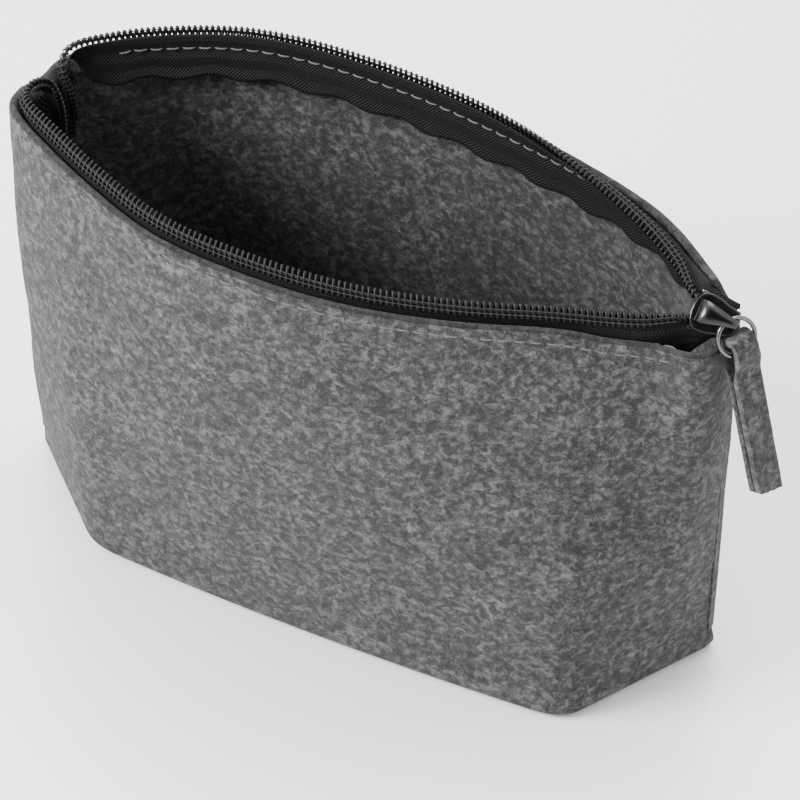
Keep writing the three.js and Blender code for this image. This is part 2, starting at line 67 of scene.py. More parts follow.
# Zip
PITCH = 1.53  # from one turn of the coil to the next
COIL_HALF_WIDTH = 2.1
COIL_HALF_WIDTH_NARROW = 1.2  # in the slider, and where it is tucked down
COIL_HALF_HEIGHT = 0.9
COIL_WIRE = 0.36  # radius of the wound nylon
TURN_STEPS = 14
CORE_RADIUS = 0.42  # the cord that the coil is wound on
TAPE_HALF = 0.22
COIL_TO_TAPE = 0.35
CAD_TAPE_HALF = 0.25
TAPE_DEPTH = COIL_HALF_HEIGHT + COIL_TO_TAPE + CAD_TAPE_HALF
TAPE_DROP = 10.5
FRONT_STRIP = (1, 2.6)  # bare tape between coil and felt: along the mouth, and beside the slider
BACK_STRIP = (1.2, 3.5)
TAPE_STANDOFF = 1.0
STITCH_DROP = 3.0
STITCH_PITCH = 4.2
STITCH_LENGTH = 3.3

# Slider, ring and tab
SLIDER_AT = np.array([90.3, 4.3, 133.2])
SLIDER_ALONG = np.array([0.965, 0.073, -0.249])
SLIDER_TOP = np.array([0.243, -0.59, 0.769])
HOLE = np.array([3.4, 0, 3.95])
BRIDGE_FOOT = 2.5
BRIDGE_THICK = 0.9
RING_PLAY = 0.55
RING_RADIUS = 5.0
WIRE_RADIUS = 0.62
RING_THROUGH = np.array([0.5, 0.85, -0.12])
RING_FALL = np.array([0.75, -0.5, -0.43])
TAB_LENGTH = 48.0
TAB_HALF_WIDTH = 4.7
TAB_HALF_WIDTH_AT_RING = 4.1
TAB_FELT = 1.9
TAB_POCKET_HALF = 1.7
TAB_GAP_HALF = 0.15
TAB_LOOP_AT = 3.8
TAB_RISE = 4.0
TAB_SLIP = np.array([1.2, 0, 0])  # how far the tab has slid along the ring towards the slider
TAB_FALL = np.array([0.285, -0.183, -0.941])
TAB_ACROSS = np.array([0.42, 0.907, 0])
TAB_TWIST = 8.0

UP_WAY = np.array([0.0, 0.0, 1.0])
FRONT, BACK = -1, 1


# ---------------------------------------------------------------- small tools


def unit(v):
    v = np.asarray(v, float)
    return v / np.linalg.norm(v)


def mix(a, b, t):
    return a + (b - a) * t


def smooth(x, low, high):
    t = min(max((x - low) / (high - low), 0.0), 1.0)
    return t * t * (3 - 2 * t)


def turned(vector, axis, degrees):
    """vector turned about axis by the right-hand rule."""
    return np.array(Matrix.Rotation(math.radians(degrees), 3, Vector(axis)) @ Vector(vector))


class Line:
    """A curve through points, read by the share of its length."""

    def __init__(self, samples):
        self.samples = np.asarray(samples, float)
        steps = np.linalg.norm(np.diff(self.samples, axis=0), axis=1)
        self.run = np.concatenate([[0], np.cumsum(steps)])
        self.length = self.run[-1]

    def at(self, share):
        place = share * self.length
        return np.array([np.interp(place, self.run, column) for column in self.samples.T])

    def way(self, share, step=0.002):
        return unit(self.at(min(share + step, 1)) - self.at(max(share - step, 0)))


def through(points, steps=60):
    """The centripetal Catmull-Rom curve through points, as a Line."""
    points = [np.asarray(p, float) for p in points]
    points = [2 * points[0] - points[1], *points, 2 * points[-1] - points[-2]]
    samples = []
    for p0, p1, p2, p3 in zip(points, points[1:], points[2:], points[3:]):
        d0, d1, d2 = (np.linalg.norm(b - a) ** 0.5 for a, b in ((p0, p1), (p1, p2), (p2, p3)))
        t1 = ((p1 - p0) / d0 - (p2 - p0) / (d0 + d1) + (p2 - p1) / d1) * d1
        t2 = ((p2 - p1) / d1 - (p3 - p1) / (d1 + d2) + (p3 - p2) / d2) * d1
        for t in np.arange(steps) / steps:
            c2 = -3 * p1 + 3 * p2 - 2 * t1 - t2
            c3 = 2 * p1 - 2 * p2 + t1 + t2
            samples.append(p1 + t1 * t + c2 * t**2 + c3 * t**3)
    return Line([*samples, points[-2]])


def lumps(point, size, seed):
    """Smooth noise from -1 to 1 with features of that size, in millimetres."""
    return noise.noise(Vector(point) / size + Vector((seed, 2.7 * seed, -seed)))


def piece(name, vertices, faces, material, body="pouch", shade=True, uvs=None):
    """A mesh object from points in millimetres, riding on a body."""
    mesh = bpy.data.meshes.new(name)
    mesh.from_pydata([tuple(float(x) * MM for x in v) for v in vertices], [], faces)
    mesh.materials.append(material)
    if uvs is not None:
        layer = mesh.uv_layers.new(name="weave")
        for loop in mesh.loops:
            layer.data[loop.index].uv = uvs[loop.vertex_index]
    if shade:
        mesh.polygons.foreach_set("use_smooth", [True] * len(mesh.polygons))
    obj = bpy.data.objects.new(name, mesh)
    bpy.context.collection.objects.link(obj)
    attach(obj, body)
    return obj


def stands_for(obj, slot, *nodes):
    if nodes:
        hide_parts(*nodes)
    return obj


def grid_faces(rows, columns, closed=False, turn=False):
    """Quads between rows of points; closed joins the last column to the first."""
    faces = []
    for i in range(rows - 1):
        for j in range(columns if closed else columns - 1):
            k = (j + 1) % columns
            quad = [i * columns + j, i * columns + k, (i + 1) * columns + k, (i + 1) * columns + j]
            faces.append(quad[::-1] if turn else quad)
    return faces


def skinned(rings, turn=False):
    """The points and faces of a solid over rings of points, with both ends closed."""
    count = len(rings[0])
    faces = grid_faces(len(rings), count, closed=True, turn=turn)
    first = list(range(count))
    last = [(len(rings) - 1) * count + k for k in range(count)]
    faces.append(first if turn else first[::-1])
    faces.append(last[::-1] if turn else last)
    return [point for ring in rings for point in ring], faces


def tube(points, normals, radii, sides=7):
    """A closed tube along a path. normals is one vector across the path at each point."""
    points = np.asarray(points, float)
    ways = np.gradient(points, axis=0)
    angles = [2 * math.pi * k / sides for k in range(sides)]
    rings = []
    for point, way, normal, radius in zip(points, ways, normals, radii):
        way = unit(way)
        across = unit(normal - way * np.dot(normal, way))
        other = np.cross(way, across)
        rings.append([point + radius * (across * math.cos(k) + other * math.sin(k)) for k in angles])
    return skinned(rings)


def gathered(parts):
    """Joins (vertices, faces) pairs into one."""
    vertices, faces = [], []
    for v, f in parts:
        shift = len(vertices)
        vertices.extend(v)
        faces.extend([[i + shift for i in face] for face in f])
    return vertices, faces


# ---------------------------------------------------------------- materials


class Nodes:
    """Short ways to add shader nodes to a new material."""

    def __init__(self, name):
        self.material = bpy.data.materials.new(name)
        self.material.use_nodes = True
        self.tree = self.material.node_tree
        self.shader = self.tree.nodes["Principled BSDF"]

    def add(self, kind, inputs=None, **settings):
        node = self.tree.nodes.new(kind)
        for key, value in settings.items():
            setattr(node, key, value)
        for key, value in (inputs or {}).items():
            self.put(node.inputs[key], value)
        return node

    def put(self, socket, value):
        if isinstance(value, bpy.types.NodeSocket):
            self.tree.links.new(value, socket)
        else:
            socket.default_value = value

    def set(self, **values):
        for key, value in values.items():
            self.put(self.shader.inputs[key.replace("_", " ")], value)

    def place(self):
        return self.add("ShaderNodeTexCoord").outputs["Object"]

    def weave_place(self):
        return self.add("ShaderNodeUVMap", uv_map="weave").outputs["UV"]

    def math(self, operation, *values):
        node = self.add("ShaderNodeMath", operation=operation)
        for socket, value in zip(node.inputs, values):
            self.put(socket, value)
        return node.outputs[0]

    def noise(self, vector, scale, detail=4.0, distortion=0.0, rough=0.55):
        values = {"Vector": vector, "Scale": scale, "Detail": detail}
        values.update({"Distortion": distortion, "Roughness": rough})
        return self.add("ShaderNodeTexNoise", values).outputs["Fac"]

    def stretched(self, vector, scale, angle=(0, 0, 0)):
        return self.add("ShaderNodeMapping", {"Vector": vector, "Scale": scale, "Rotation": angle}).outputs[0]

    def span(self, value, low, high, to_low=0.0, to_high=1.0):
        values = {"Value": value, "From Min": low, "From Max": high, "To Min": to_low, "To Max": to_high}
        return self.add("ShaderNodeMapRange", values).outputs[0]

    def ramp(self, value, *stops):
        node = self.add("ShaderNodeValToRGB", {"Fac": value})
        elements = node.color_ramp.elements
        while len(elements) < len(stops):
            elements.new(0.5)
        for element, (place, level) in zip(elements, stops):
            element.position = place
            element.color = (*level, 1.0) if isinstance(level, tuple) else (level, level, level, 1.0)
        return node.outputs["Color"]

    def blend(self, fac, a, b, mode="MIX"):
        node = self.add("ShaderNodeMix", data_type="RGBA", blend_type=mode)
        self.put(node.inputs["Factor"], fac)
        self.put(node.inputs[6], a)
        self.put(node.inputs[7], b)
        return node.outputs[2]

    def bump(self, height, distance, strength=1.0):
        values = {"Height": height, "Distance": distance, "Strength": strength}
        return self.add("ShaderNodeBump", values).outputs["Normal"]


def fibres(nodes, place, scale, seed, width):
    """Thin curling lines, as of single fibres: where a noise crosses its middle value."""
    moved = nodes.add("ShaderNodeMapping", {"Vector": place, "Location": (seed, 3 * seed, -seed)}).outputs[0]
    field = nodes.noise(moved, scale, detail=2.5, distortion=1.6)
    away = nodes.math("ABSOLUTE", nodes.math("SUBTRACT", field, 0.5))
    return nodes.span(away, width, 0.0)


def felt_material(name, tone=1.0):
    """Grey needled felt: patches of dark and light wool under a net of single fibres."""
    nodes = Nodes(name)
    place = nodes.place()
    patches = nodes.noise(place, 430, detail=7, distortion=0.4, rough=0.78)
    broad = nodes.noise(place, 75, detail=5, distortion=0.4)
    grain = nodes.noise(place, 2100, detail=4, rough=0.7)
    levels = ((0.41, 0.006), (0.48, 0.025), (0.53, 0.062), (0.63, 0.15))
    base = nodes.ramp(patches, *((stop, level * tone) for stop, level in levels))
    base = nodes.blend(0.6, base, nodes.ramp(broad, (0.32, 0.3), (0.68, 0.68)), "OVERLAY")
    base = nodes.blend(0.45, base, nodes.ramp(grain, (0.3, 0.25), (0.7, 0.75)), "OVERLAY")
    fine_dark, long_dark = fibres(nodes, place, 760, 1.3, 0.018), fibres(nodes, place, 430, 4.1, 0.011)
    fine_light, long_light = fibres(nodes, place, 900, 7.9, 0.015), fibres(nodes, place, 520, 11.2, 0.01)
    dark = nodes.math("MAXIMUM", fine_dark, long_dark)
    light = nodes.math("MAXIMUM", fine_light, long_light)
    colour = nodes.blend(nodes.math("MULTIPLY", dark, 0.55), base, (0.007, 0.007, 0.008, 1))
    pale = 0.15 * tone
    colour = nodes.blend(nodes.math("MULTIPLY", light, 0.55), colour, (pale, pale, pale, 1))
    height = nodes.math("ADD", nodes.math("MULTIPLY", patches, 0.8), nodes.math("MULTIPLY", light, 0.4))
    height = nodes.math("SUBTRACT", height, nodes.math("MULTIPLY", dark, 0.35))
    nodes.set(Base_Color=colour, Roughness=0.95, Normal=nodes.bump(height, 0.00035, 0.9))
    nodes.shader.inputs["Sheen Weight"].default_value = 0.12
    nodes.shader.inputs["Sheen Roughness"].default_value = 0.6
    nodes.shader.inputs["Specular IOR Level"].default_value = 0.15
    return nodes.material


def tape_material(name, level):
    """Black herringbone tape: twill ribs that turn back along each column of the weave, coloured by their
    height with painted shade in the hollows and painted highlight on the crests.
    """
    nodes = Nodes(name)
    parts = nodes.add("ShaderNodeSeparateXYZ", {"Vector": nodes.weave_place()})
    run, across = parts.outputs["X"], parts.outputs["Y"]
    fold = nodes.math("PINGPONG", across, 2.6)
    ribs = nodes.math("SINE", nodes.math("MULTIPLY", nodes.math("ADD", run, fold), 2 * math.pi / 0.95))
    yarns = nodes.math("SINE", nodes.math("MULTIPLY", across, 2 * math.pi / 0.5))
    height = nodes.math("ADD", ribs, nodes.math("MULTIPLY", yarns, 0.35))
    wear = nodes.noise(nodes.place(), 900, detail=3)
    high = nodes.span(height, -1.2, 1.2)
    # Painted shade and highlight: the colour follows the ribs' height, from 0.35 of the level in the hollows
    # to 2.6 times it on the crests.
    colour = nodes.ramp(high, (0.0, 0.35 * level), (0.55, level), (1.0, 2.6 * level))
    worn = (4 * level, 4 * level, 4.1 * level, 1)
    colour = nodes.blend(nodes.span(wear, 0.5, 0.8, 0.0, 0.25), colour, worn)
    rough = nodes.span(high, 0, 1, 0.85, 0.55)
    nodes.set(Base_Color=colour, Roughness=rough, Normal=nodes.bump(height, 0.00022, 0.9))
    nodes.shader.inputs["Specular IOR Level"].default_value = 0.25
    return nodes.material


def nylon_material(name):
    """Black wound nylon: smooth and faintly uneven."""
    nodes = Nodes(name)
    place = nodes.place()
    uneven = nodes.noise(place, 1500, detail=3)
    colour = nodes.ramp(uneven, (0.3, 0.004), (0.7, 0.009))
    rough = nodes.span(uneven, 0.3, 0.7, 0.3, 0.44)
    nodes.set(Base_Color=colour, Roughness=rough, Normal=nodes.bump(uneven, 0.00004, 0.5))
    nodes.shader.inputs["Specular IOR Level"].default_value = 0.2
    return nodes.material


def thread_material(name, level, light):
    """Twisted sewing thread: slanting strands a fraction of a millimetre wide, coloured by their bump with
    painted shade in the grooves and painted highlight on the raised strands.
    """
    nodes = Nodes(name)
    place = nodes.place()
    slanting = nodes.stretched(place, (1, 1, 1), (0.5, 0.4, 0.7))
    strands = {"Vector": slanting, "Scale": 950.0, "Distortion": 1.2, "Detail": 2.0}
    bands = nodes.add("ShaderNodeTexWave", strands)
    speck = nodes.noise(place, 2500, detail=2)
    # Painted shade and highlight: the strands' colour follows their bump, darker in the grooves and lighter
    # where raised.
    colour = nodes.ramp(bands.outputs["Fac"], (0.1, level), (0.9, light))
    colour = nodes.blend(nodes.span(speck, 0.45, 0.7, 0.0, 0.3), colour, (level, level, level, 1))
    nodes.set(Base_Color=colour, Roughness=0.75, Normal=nodes.bump(bands.outputs["Fac"], 0.00006, 0.7))
    return nodes.material


def metal_material(name, level, rough, worn):
    """Dark plated metal: fine scratches and a soft mottle, paler where the edges are worn."""
    nodes = Nodes(name)
    place = nodes.place()
    scratches = nodes.noise(nodes.stretched(place, (300, 4200, 900), (0.3, 0.5, 0.2)), 1.0, detail=4)
    mottle = nodes.noise(place, 900, detail=4)
    edge = nodes.span(nodes.add("ShaderNodeNewGeometry").outputs["Pointiness"], 0.56, 0.68)
    colour = nodes.blend(mottle, (level, level, 1.03 * level, 1), (1.5 * level, 1.5 * level, 1.52 * level, 1))
    colour = nodes.blend(edge, colour, (worn, worn, worn, 1))
    roughness = nodes.span(scratches, 0.3, 0.7, rough * 0.75, rough * 1.35)
    nodes.set(Base_Color=colour, Roughness=roughness, Normal=nodes.bump(scratches, 0.00002, 0.5))
    nodes.shader.inputs["Metallic"].default_value = 1.0
    return nodes.material


grey_felt = felt_material("grey_felt")
tab_felt = felt_material("tab_felt", 0.92)
# A copy of the grey felt at 0.3 of its tone for the felt's cut rim: painted shade, as the rim is the same
# felt as the walls.
shaded_cut_felt = felt_material("shaded_cut_felt", 0.3)
black_tape = tape_material("black_tape", 0.004)
black_nylon = nylon_material("black_nylon")
filler_cord = thread_material("filler_cord", 0.006, 0.016)
black_thread = thread_material("black_thread", 0.004, 0.012)
grey_thread = thread_material("grey_thread", 0.07, 0.15)
gun_metal = metal_material("gun_metal", 0.035, 0.22, 0.4)
polished_wire = metal_material("polished_wire", 0.11, 0.16, 0.35)


# ---------------------------------------------------------------- the zip's line and the felt's shape

SLIDER_ACROSS = unit(np.cross(SLIDER_TOP, SLIDER_ALONG))
SLIDER_UP = unit(SLIDER_TOP)
SLIDER_RIGHT = unit(np.cross(SLIDER_ACROSS, SLIDER_UP))


def slider_way(way):
    return way[0] * SLIDER_RIGHT + way[1] * SLIDER_ACROSS + way[2] * SLIDER_UP


def in_slider(s, l, u):
    return SLIDER_AT + slider_way((s, l, u))


def chain(side):
    """The middle of one coil, from its end tucked down in the left corner to the slider."""
    if side == FRONT:
        points = [(-94.5, 13, 112), (-95, 13.5, 124), (-97.5, 12.5, 133), (-99.6, 7.5, 136.6)]
        points += [(-98.8, 1, 137.2), (-84.1, -9, 138.3), (-69, -17.1, 138.7), (-48.5, -25.5, 139.1)]
        points += [(-22.3, -28.7, 139), (4.5, -27.4, 138.3), (29.2, -21.4, 137), (52.5, -12.2, 135)]
        points += [(73.6, -4, 133)]
    else:
        points = [(-94.5, 20.5, 112), (-95.5, 20.5, 122), (-97.5, 20.8, 129.5), (-97.8, 25, 133)]
        points += [(-88, 33, 134.2), (-55, 46.4, 136), (-16, 47.7, 137), (24, 41, 137.4)]
        points += [(62, 25, 137), (76, 15.5, 136.4)]
    points += [in_slider(-6, 2.95 * side, -0.1), in_slider(-1, 1.9 * side, 0), in_slider(4.6, 1.45 * side, 0)]
    return through(points)


def stance(line, share, side):
    """How the zip stands at a share of its line: point, tangent, level way out, a across, m out."""
    point = line.at(share)
    tangent = line.way(share)
    level = unit([tangent[0], tangent[1], 0])
    out = -side * np.cross(level, UP_WAY)
    tucked = 0.0
    if point[0] < 0:
        tucked = smooth(point[1], -6, 9) if side == FRONT else 1 - smooth(point[1], 20, 37)
    steep = 45 if side == FRONT else mix(85, -20, smooth(point[0], 5, 86))
    leaning = out * math.cos(math.radians(steep)) - UP_WAY * math.sin(math.radians(steep))
    leaning = mix(leaning, SLIDER_ACROSS * side, smooth(point[0], 76, 86))
    a = mix(leaning, np.array([-0.5, 0, -0.8]), tucked)
    a = unit(a - tangent * np.dot(a, tangent))
    m = unit(-side * np.cross(a, tangent))
    half = mix(COIL_HALF_WIDTH, COIL_HALF_WIDTH_NARROW, max(smooth(point[0], 72, 84), tucked))
    return {"point": point, "way": tangent, "out": out, "a": a, "m": m, "tucked": tucked, "half": half}


def tape_strip(x, side):
    along, beside = FRONT_STRIP if side == FRONT else BACK_STRIP
    start, less = (50, 1.6) if side == FRONT else (74, 0.4)
    return mix(along, beside, smooth(x, start, 84)) - less * smooth(x, 88, 93)


def tape_bend(s, side):
    """Where the tape bends down behind the felt's edge."""
    reach = s["half"] + tape_strip(s["point"][0], side) * (1 - s["tucked"])
    return s["point"] + s["a"] * reach - s["m"] * TAPE_DEPTH


chains = {side: chain(side) for side in (FRONT, BACK)}
RAIL_STEPS = 48
LEFT_SEAM_TOP = (-102, 15.5, 127)
RIGHT_SEAM_TOP = (93.9, 6, 124.6)


def mouth_line(side):
    """The top inner edge of the felt, from the left seam's top to the right one's."""
    rail = [stance(chains[side], i / RAIL_STEPS, side) for i in range(RAIL_STEPS + 1)]
    last_x, drop, slope = (79, 1.6, (56, 80)) if side == FRONT else (86, 1.3, (66, 82))
    rail = [s for s in rail if s["tucked"] < 0.15 and s["point"][0] < last_x][::2]
    lifts = [0.3 - drop * smooth(s["point"][0], *slope) for s in rail]
    rail = [tape_bend(s, side) + s["out"] * TAPE_STANDOFF + UP_WAY * up for s, up in zip(rail, lifts)]
    left_front = [(-102.2, 8.5, 132), (-101.6, 1.5, 133.4)]
    left_back = [(-101.5, 21.5, 125), (-100, 26.5, 125.5)]
    left = left_front if side == FRONT else left_back
    right = [(90.4, -4.8, 128.9)] if side == FRONT else [(93.6, 9.6, 127.5)]
    return through([LEFT_SEAM_TOP, *left, *rail, *right, RIGHT_SEAM_TOP])


def base_line(side):
    """The line that the fold round the base turns about, from the left foot to the right one."""
    left, bow, right = (np.array(p, float) for p in (FRONT_FOLD if side == FRONT else BACK_FOLD))
    feet = np.array(LEFT_FOOT, float), np.array(RIGHT_FOOT, float)
    stops = [feet[0], mix(left, feet[0], CORNER_SHARE), mix(left, bow, CORNER_SHARE)]
    stops += [mix(right, bow, CORNER_SHARE), mix(right, feet[1], CORNER_SHARE), feet[1]]
    whole = [stops[0]]
    for start, bend, end in zip(stops[1:], (left, bow, right), stops[2:]):
        for t in np.linspace(0, 1, 40):
            whole.append((1 - t) ** 2 * start + 2 * t * (1 - t) * bend + t * t * end)
    whole.append(stops[5])
    return Line([(*p, FOLD_RADIUS) for p in whole])


mouths = {side: mouth_line(side) for side in (FRONT, BACK)}
folds = {side: base_line(side) for side in (FRONT, BACK)}


def fold_out(side, t, step=0.01):
    """The level way out of the wall above a point of the fold."""
    before, after = folds[side].at(max(t - step, 0)), folds[side].at(min(t + step, 1))
    out = -side * unit([after[1] - before[1], before[0] - after[0], 0])
    end = np.array([-1.0 if t < 0.5 else 1.0, 0, 0])
    return unit(mix(out, end, 1 - smooth(min(t, 1 - t), 0, 0.03)))


def wall_point(side, t, v):
    """A point of the wall's inner face: t from the left seam to the right, v from base to mouth."""
    out = fold_out(side, t)
    low = folds[side].at(t) + out * (FOLD_RADIUS - FELT)
    belly = WALL_BULGE * math.sin(math.pi * v) * mix(1, 0.2, smooth(t, 0.88, 1))
    return mix(low, mouths[side].at(t), v) + out * belly


# ---------------------------------------------------------------- felt body


def level_normals(ring):
    before, after = np.roll(ring, 1, axis=0), np.roll(ring, -1, axis=0)
    way = after - before
    out = np.stack([way[:, 1], -way[:, 0], np.zeros(len(ring))], axis=1)
    return out / np.linalg.norm(out, axis=1, keepdims=True)


def around(point_at):
    steps = [i / AROUND for i in range(AROUND)]
    return np.array([point_at(FRONT, t) for t in steps] + [point_at(BACK, 1 - t) for t in steps])


def seam_nearness(ring):
    """1 on the side seams, falling to 0 a few millimetres from them."""
    gap = np.zeros(len(ring))
    for start in (0, AROUND):
        gap += np.exp(-((np.linalg.norm(ring - ring[start], axis=1) / 1.5) ** 2))
    return np.minimum(gap, 1)


def felt_rings():
    """The felt's outer and inner faces as rings of points, from the base's middle to the mouth."""
    fold = around(lambda side, t: folds[side].at(t))
    middle = around(lambda side, t: mix(folds[FRONT].at(t), folds[BACK].at(t), 0.5) * (0.8, 1, 1))
    out = level_normals(fold)
    outer, inner = [], []
    for spread in np.linspace(0, 1, 12)[:-1]:
        flat = mix(middle, fold, spread) * (1, 1, 0)
        outer.append(flat)
        inner.append(flat + UP_WAY * FELT)
    for turn in np.linspace(0, math.pi / 2, 7):
        for radius, rings in ((FOLD_RADIUS, outer), (FOLD_RADIUS - FELT, inner)):
            rings.append(fold + out * radius * math.sin(turn) - UP_WAY * radius * math.cos(turn))
    for j in range(1, UP + 1):
        ring = around(lambda side, t: wall_point(side, t, j / UP))
        ways = level_normals(ring)
        near = seam_nearness(ring)[:, None] * smooth(j / UP, 0.0, 0.06)
        sway = np.array([0.9 * lumps(p, 46, 3.0) + 0.25 * lumps(p, 14, 8.0) for p in ring])[:, None]
        sway *= smooth(j / UP, 0, 0.12) * smooth(1 - j / UP, 0, 0.1)
        nap = np.array([lumps(p, 3.4, 5.0) for p in ring])[:, None]
        inner.append(ring + ways * sway)
        outer.append(ring + ways * (FELT * (1 - 0.55 * near) + sway + 0.10 * nap))
    return outer, inner


def weld(obj):
    """Join the points that lie together, so the base's middle line is closed."""
    mesh = bmesh.new()
    mesh.from_mesh(obj.data)
    bmesh.ops.remove_doubles(mesh, verts=mesh.verts, dist=1e-6)
    mesh.to_mesh(obj.data)
    mesh.free()


def felt_shell():
    outer, inner = felt_rings()
    rim = []
    for lift, share in ((0.28, 0.82), (0.38, 0.5), (0.28, 0.18)):
        top = mix(inner[-1], outer[-1], share) + UP_WAY * lift
        rough = np.array([0.22 * lumps(p, 1.7, 2.0) + 0.2 * lumps(p, 6.0, 9.0) for p in top])
        rim.append(top + UP_WAY * rough[:, None])
    rows = [*outer, *rim, *inner[::-1]]
    vertices = np.concatenate(rows)
    faces = grid_faces(len(rows), 2 * AROUND, closed=True)
    obj = piece("felt_shell", vertices, faces, grey_felt)
    # The cut rim round the mouth takes the felt copy at 0.3 of its tone: painted shade on the rim.
    obj.data.materials.append(shaded_cut_felt)
    around_count, first = 2 * AROUND, len(outer) - 1
    shaded_rim_faces = [1 if first <= i // around_count < first + len(rim) + 1 else 0 for i in range(len(faces))]
    obj.data.polygons.foreach_set("material_index", shaded_rim_faces)
    weld(obj)
    stands_for(obj, "grey_felt", "felt_body")
    return obj


def seam_line(end, inward, low=SEAM_FIN_LOW, high=SEAM_FIN_HIGH, steps=40):
    into = 1 if end == 0 else -1
    top = LEFT_SEAM_TOP if end == 0 else RIGHT_SEAM_TOP
    points = []
    for z in np.linspace(low, high, steps):
        v = (z - FOLD_RADIUS) / (top[2] - FOLD_RADIUS)
        at = wall_point(FRONT, end, v)
        points.append(np.array([at[0] + into * inward, at[1], z]))
    return points


def seam_allowances(end, name):
    """The two edges of felt sewn together inside a side seam, with a hairline between them."""
    into = 1 if end == 0 else -1
    parts = []
    for face in (-1, 1):
        rings = []
        for root in seam_line(end, 0):
            tip = SEAM_FIN_DEPTH + 0.3 * lumps(root, 3.0, 4.0 + face)
            section = [(-1.0, 0.06), (tip - 0.5, 0.06), (tip, 0.4)]
            section += [(tip, FELT - 0.4), (tip - 0.5, FELT), (-1.0, FELT)]
            rings.append([root + np.array([into * x, face * y, 0]) for x, y in section])
        parts.append(skinned(rings))
    vertices, faces = gathered(parts)
    obj = piece(name, vertices, faces, grey_felt, shade=False)
    return obj


# ---------------------------------------------------------------- zip


def tape_ends():
    """The tapes' ends, turned down and sewn flat against the left seam between the coils."""
    rows = []
    for v in np.linspace(0.8, 0.975, 14):
        spots = [(FRONT, t) for t in (0.075, 0.05, 0.025, 0.0)] + [(BACK, t) for t in (0.02, 0.04, 0.06)]
        walls = [(wall_point(side, t, v), fold_out(side, t)) for side, t in spots]
        rows.append([p - out * 0.55 for p, out in walls] + [p - out * 0.95 for p, out in walls[::-1]])
    count = len(rows[0])
    uvs = [(0.9 * i, 2.0 * min(j, count - 1 - j)) for i in range(len(rows)) for j in range(count)]
    vertices, faces = skinned(rows)
    obj = piece("turned_down_tape_ends", vertices, faces, black_tape, uvs=uvs)
    return obj


def nearest_share(side, point):
    samples = mouths[side].samples
    index = np.argmin(np.linalg.norm(samples - point, axis=1))
    return mouths[side].run[index] / mouths[side].length


TAPE_ACROSS = 22


def tape_section(s, side, run):
    """Points across the tape from under the coil to its free edge, with the way each faces."""
    bend = tape_bend(s, side)
    share = nearest_share(side, bend)
    free = 1 - smooth(s["tucked"], 0.45, 1)
    down = unit(wall_point(side, share, 0.9) - wall_point(side, share, 0.98))
    face = unit(mix(-side * np.cross(down, s["way"]), s["m"], s["tucked"]))
    fall = unit(mix(down - s["out"] * (0.14 + 0.6 * s["tucked"]), s["a"], s["tucked"]))
    drop = mix(1, TAPE_DROP, free * (1 - 0.9 * smooth(s["point"][0], 82, 92)))
    wave = 0.5 + 0.5 * math.sin(2 * math.pi * run / 17.0 + 0.8 * math.sin(run / 31.0))
    drop *= 1 + 0.09 * (wave - 0.5)
    start = s["point"] - s["a"] * 0.3 - s["m"] * TAPE_DEPTH
    corner = bend + fall * min(0.35 * drop, 1.0)
    before = bend - s["a"] * min(1.0, 0.4 * np.linalg.norm(bend - start))
    flat = np.linspace(0, 1, 6)[:-1]
    curve = np.linspace(0, 1, 6)[:-1]
    hanging = np.linspace(0, 1, TAPE_ACROSS - 10)
    points = [(mix(start, before, t), s["m"]) for t in flat]
    for t in curve:
        at = (1 - t) ** 2 * before + 2 * t * (1 - t) * bend + t * t * corner
        points.append((at, unit(mix(s["m"], face, t))))
    end = bend + fall * drop
    for t in hanging:
        ripple = -s["out"] * 0.8 * wave * t * t * free
        points.append((mix(corner, end, t) + ripple, face))
    return points


def zip_tape(side, name):
    line = chains[side]
    rows = int(line.length / 0.9)
    sheets, runs = [], []
    for i in range(rows + 1):
        run = line.length * i / rows
        section = tape_section(stance(line, i / rows, side), side, run)
        sheets.append(section)
        runs.append(run)
    upper = [[p + n * TAPE_HALF for p, n in row] for row in sheets]
    under = [[p - n * TAPE_HALF for p, n in row][::-1] for row in sheets]
    rings = [a + b for a, b in zip(upper, under)]
    count = 2 * TAPE_ACROSS
    faces = grid_faces(len(rings), count, closed=True)
    for base, turn in ((0, True), ((len(rings) - 1) * count, False)):
        for j in range(TAPE_ACROSS - 1):
            quad = [base + j, base + j + 1, base + count - 2 - j, base + count - 1 - j]
            faces.append(quad[::-1] if turn else quad)
    across = [0.0]
    middle = sheets[len(sheets) // 2]
    for (p, _), (q, _) in zip(middle, middle[1:]):
        across.append(across[-1] + np.linalg.norm(q - p))
    uvs = [(run, v) for run in runs for v in across + across[::-1]]
    vertices = [p for ring in rings for p in ring]
    obj = piece(name, vertices, faces, black_tape, uvs=uvs)
    return stands_for(obj, "black_tape", name.replace("woven_", "") + "_zip_tape")


def coil_point(line, share, side, angle):
    s = stance(line, min(max(share, 0), 1), side)
    width, height = s["half"] - COIL_WIRE, COIL_HALF_HEIGHT - COIL_WIRE
    across = math.copysign(abs(math.cos(angle)) ** 0.8, math.cos(angle))
    lift = math.copysign(abs(math.sin(angle)) ** 0.8, math.sin(angle))
    way = s["a"] * across * width + s["m"] * lift * height
    return s["point"] + way, way


def wound_coil(side, name):
    """One wound nylon coil, with its turns widened into heads on the meshing side."""
    line = chains[side]
    turns = int(line.length / PITCH)
    points, normals, radii = [], [], []
    for i in range(turns * TURN_STEPS + 1):
        angle = side * 2 * math.pi * i / TURN_STEPS
        point, way = coil_point(line, i / (turns * TURN_STEPS), side, angle)
        points.append(point)
        normals.append(way)
        head = max(-math.cos(angle), 0) ** 4
        radii.append(COIL_WIRE * (1 + 0.3 * head))
    vertices, faces = tube(points, normals, radii, sides=7)
    obj = piece(name, vertices, faces, black_nylon)
    return stands_for(obj, "black_nylon", name.replace("wound_", ""))


